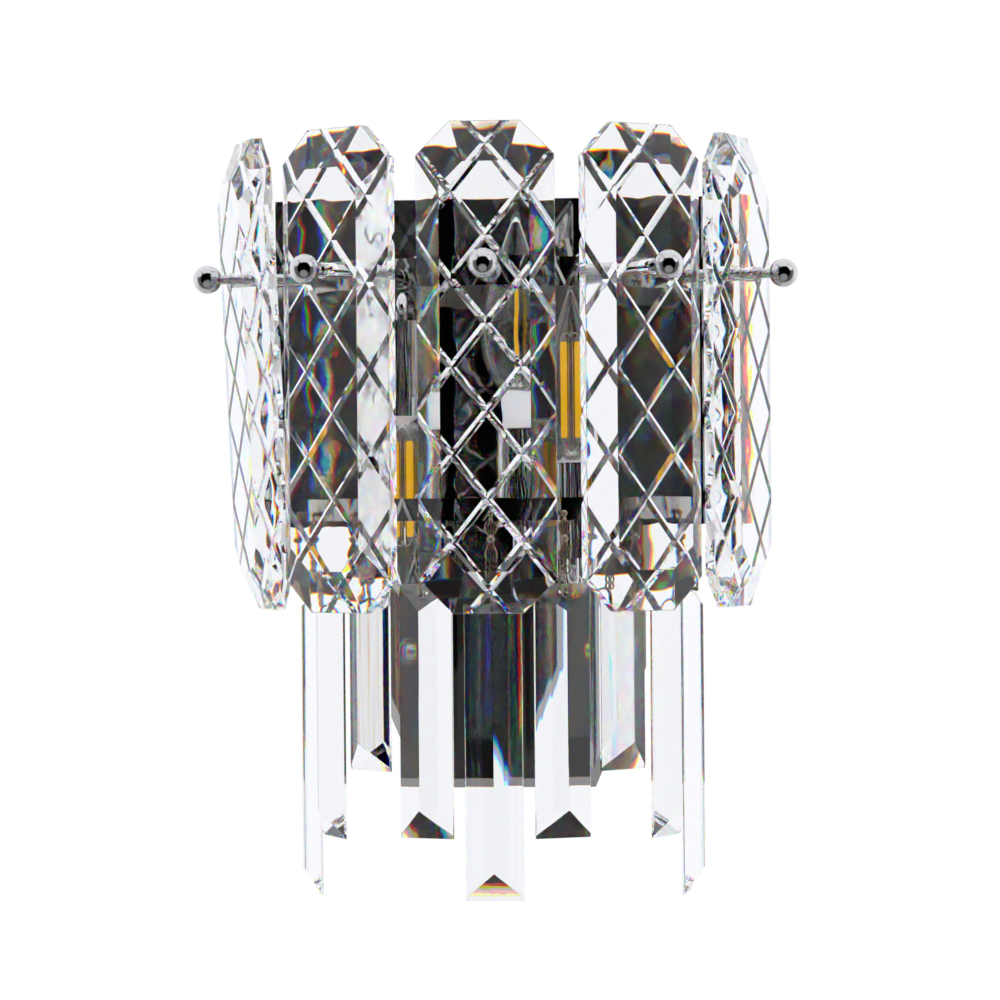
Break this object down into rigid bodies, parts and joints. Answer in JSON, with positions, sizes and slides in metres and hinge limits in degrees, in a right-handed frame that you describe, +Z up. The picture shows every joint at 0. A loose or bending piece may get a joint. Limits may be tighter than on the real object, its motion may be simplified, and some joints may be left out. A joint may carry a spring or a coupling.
{
  "type": "wall sconce",
  "caption": "Half-round wall light: bevelled crystal panels on ball-ended studs over a fringe of hanging prisms, on a mirror back and an octagonal wall plate.",
  "frame": {"origin": "on the wall plane, midway between the two wall screw holes of the mounting strap", "axes": "+Z up, +Y into the wall, -Y towards the room, +X to the right for someone who faces the wall"},
  "size_m": [0.2734, 0.203, 0.3462],
  "materials": {
    "chrome": "mirror polished plating",
    "mirror_steel": "mirror polished sheet",
    "dark_chrome": "dark polished plating",
    "zinc_steel": "zinc plated",
    "brass": "plain turned",
    "crystal": "clear polished facets",
    "lamp_glass": "thin clear blown glass",
    "filament_yellow": "satin coating",
    "white_plastic": "satin moulded",
    "ceramic_white": "unglazed"
  },
  "bodies": {
    "fixture": {"mounting_strap": "zinc_steel", "strap_studs": "zinc_steel", "plate_cap_nuts": "chrome", "terminal_block": "white_plastic", "terminal_screws": "brass", "wall_plate": "chrome", "back_mirror": "mirror_steel", "mirror_spacers": "chrome", "spacer_screws": "chrome", "spacer_nuts": "zinc_steel", "upper_band": "mirror_steel", "lower_band": "mirror_steel", "band_screws": "chrome", "band_nuts": "zinc_steel", "panel_studs": "chrome", "stud_nuts": "chrome", "ball_nuts": "chrome", "lamp_sockets": "ceramic_white", "socket_contacts": "brass", "lamp_sleeves": "chrome", "lamp_arms": "chrome", "arm_nuts": "chrome"},
    "panel_left_outer": {"panel_left_outer": "crystal"},
    "panel_left_inner": {"panel_left_inner": "crystal"},
    "panel_front": {"panel_front": "crystal"},
    "panel_right_inner": {"panel_right_inner": "crystal"},
    "panel_right_outer": {"panel_right_outer": "crystal"},
    "clip_1": {"clip_1": "dark_chrome"},
    "prism_1": {"prism_1": "crystal"},
    "clip_2": {"clip_2": "dark_chrome"},
    "prism_2": {"prism_2": "crystal"},
    "clip_3": {"clip_3": "dark_chrome"},
    "prism_3": {"prism_3": "crystal"},
    "clip_4": {"clip_4": "dark_chrome"},
    "prism_4": {"prism_4": "crystal"},
    "clip_5": {"clip_5": "dark_chrome"},
    "prism_5": {"prism_5": "crystal"},
    "clip_6": {"clip_6": "dark_chrome"},
    "prism_6": {"prism_6": "crystal"},
    "clip_7": {"clip_7": "dark_chrome"},
    "prism_7": {"prism_7": "crystal"},
    "clip_8": {"clip_8": "dark_chrome"},
    "prism_8": {"prism_8": "crystal"},
    "clip_9": {"clip_9": "dark_chrome"},
    "prism_9": {"prism_9": "crystal"},
    "lamp_left": {"lamp_left_glass": "lamp_glass", "lamp_left_collar": "white_plastic", "lamp_left_cap": "zinc_steel", "lamp_left_filaments": "filament_yellow"},
    "lamp_centre": {"lamp_centre_glass": "lamp_glass", "lamp_centre_collar": "white_plastic", "lamp_centre_cap": "zinc_steel", "lamp_centre_filaments": "filament_yellow"},
    "lamp_right": {"lamp_right_glass": "lamp_glass", "lamp_right_collar": "white_plastic", "lamp_right_cap": "zinc_steel", "lamp_right_filaments": "filament_yellow"}
  },
  "joints": [
    {"name": "panel_left_outer_swing", "type": "hinge", "parent": "fixture", "child": "panel_left_outer", "pos_m": [-0.11343, -0.10054, 0.101], "axis": [-0.9336, -0.3584, 0], "range_deg": [-8, 1]},
    {"name": "panel_left_inner_swing", "type": "hinge", "parent": "fixture", "child": "panel_left_inner", "pos_m": [-0.06882, -0.15713, 0.101], "axis": [-0.5664, -0.8241, 0], "range_deg": [-1.8, 1.8]},
    {"name": "panel_front_swing", "type": "hinge", "parent": "fixture", "child": "panel_front", "pos_m": [0, -0.1785, 0.101], "axis": [0, -1, 0], "range_deg": [-1.8, 1.8]},
    {"name": "panel_right_inner_swing", "type": "hinge", "parent": "fixture", "child": "panel_right_inner", "pos_m": [0.06882, -0.15713, 0.101], "axis": [0.5664, -0.8241, 0], "range_deg": [-1.8, 1.8]},
    {"name": "panel_right_outer_swing", "type": "hinge", "parent": "fixture", "child": "panel_right_outer", "pos_m": [0.11343, -0.10054, 0.101], "axis": [0.9336, -0.3584, 0], "range_deg": [-1.8, 8]},
    {"name": "clip_1_swing", "type": "hinge", "parent": "fixture", "child": "clip_1", "pos_m": [-0.08723, -0.06864, -0.006], "axis": [-0.1323, 0.9912, 0], "range_deg": [-1, 6]},
    {"name": "prism_1_swing", "type": "hinge", "parent": "clip_1", "child": "prism_1", "pos_m": [-0.08574, -0.06844, -0.0415], "axis": [-0.9912, -0.1323, 0], "range_deg": [-1, 1]},
    {"name": "clip_2_swing", "type": "hinge", "parent": "fixture", "child": "clip_2", "pos_m": [-0.07755, -0.09858, -0.006], "axis": [-0.4726, 0.8813, 0], "range_deg": [-1, 6]},
    {"name": "prism_2_swing", "type": "hinge", "parent": "clip_2", "child": "prism_2", "pos_m": [-0.07623, -0.09788, -0.0415], "axis": [-0.8813, -0.4726, 0], "range_deg": [-1, 1]},
    {"name": "clip_3_swing", "type": "hinge", "parent": "fixture", "child": "clip_3", "pos_m": [-0.05797, -0.12321, -0.006], "axis": [-0.7524, 0.6587, 0], "range_deg": [-1, 12]},
    {"name": "prism_3_swing", "type": "hinge", "parent": "clip_3", "child": "prism_3", "pos_m": [-0.05698, -0.12208, -0.0415], "axis": [-0.6587, -0.7524, 0], "range_deg": [-1, 1]},
    {"name": "clip_4_swing", "type": "hinge", "parent": "fixture", "child": "clip_4", "pos_m": [-0.03096, -0.13937, -0.006], "axis": [-0.9361, 0.3518, 0], "range_deg": [-1, 12]},
    {"name": "prism_4_swing", "type": "hinge", "parent": "clip_4", "child": "prism_4", "pos_m": [-0.03043, -0.13797, -0.0415], "axis": [-0.3518, -0.9361, 0], "range_deg": [-1, 1]},
    {"name": "clip_5_swing", "type": "hinge", "parent": "fixture", "child": "clip_5", "pos_m": [0, -0.145, -0.006], "axis": [-1, 0, 0], "range_deg": [-1, 12]},
    {"name": "prism_5_swing", "type": "hinge", "parent": "clip_5", "child": "prism_5", "pos_m": [0, -0.1435, -0.0415], "axis": [0, -1, 0], "range_deg": [-1, 1]},
    {"name": "clip_6_swing", "type": "hinge", "parent": "fixture", "child": "clip_6", "pos_m": [0.03096, -0.13937, -0.006], "axis": [-0.9361, -0.3518, 0], "range_deg": [-1, 12]},
    {"name": "prism_6_swing", "type": "hinge", "parent": "clip_6", "child": "prism_6", "pos_m": [0.03043, -0.13797, -0.0415], "axis": [0.3518, -0.9361, 0], "range_deg": [-1, 1]},
    {"name": "clip_7_swing", "type": "hinge", "parent": "fixture", "child": "clip_7", "pos_m": [0.05797, -0.12321, -0.006], "axis": [-0.7524, -0.6587, 0], "range_deg": [-1, 12]},
    {"name": "prism_7_swing", "type": "hinge", "parent": "clip_7", "child": "prism_7", "pos_m": [0.05698, -0.12208, -0.0415], "axis": [0.6587, -0.7524, 0], "range_deg": [-1, 1]},
    {"name": "clip_8_swing", "type": "hinge", "parent": "fixture", "child": "clip_8", "pos_m": [0.07755, -0.09858, -0.006], "axis": [-0.4726, -0.8813, 0], "range_deg": [-1, 12]},
    {"name": "prism_8_swing", "type": "hinge", "parent": "clip_8", "child": "prism_8", "pos_m": [0.07623, -0.09788, -0.0415], "axis": [0.8813, -0.4726, 0], "range_deg": [-1, 1]},
    {"name": "clip_9_swing", "type": "hinge", "parent": "fixture", "child": "clip_9", "pos_m": [0.08723, -0.06864, -0.006], "axis": [-0.1323, -0.9912, 0], "range_deg": [-1, 12]},
    {"name": "prism_9_swing", "type": "hinge", "parent": "clip_9", "child": "prism_9", "pos_m": [0.08574, -0.06844, -0.0415], "axis": [0.9912, -0.1323, 0], "range_deg": [-1, 1]},
    {"name": "lamp_left_lift", "type": "slide", "parent": "fixture", "child": "lamp_left", "axis": [0, 0, -1], "range_m": [0, 0.03]},
    {"name": "lamp_centre_lift", "type": "slide", "parent": "fixture", "child": "lamp_centre", "axis": [0, 0, 1], "range_m": [0, 0.03]},
    {"name": "lamp_right_lift", "type": "slide", "parent": "fixture", "child": "lamp_right", "axis": [0, 0, 1], "range_m": [0, 0.03]}
  ]
}
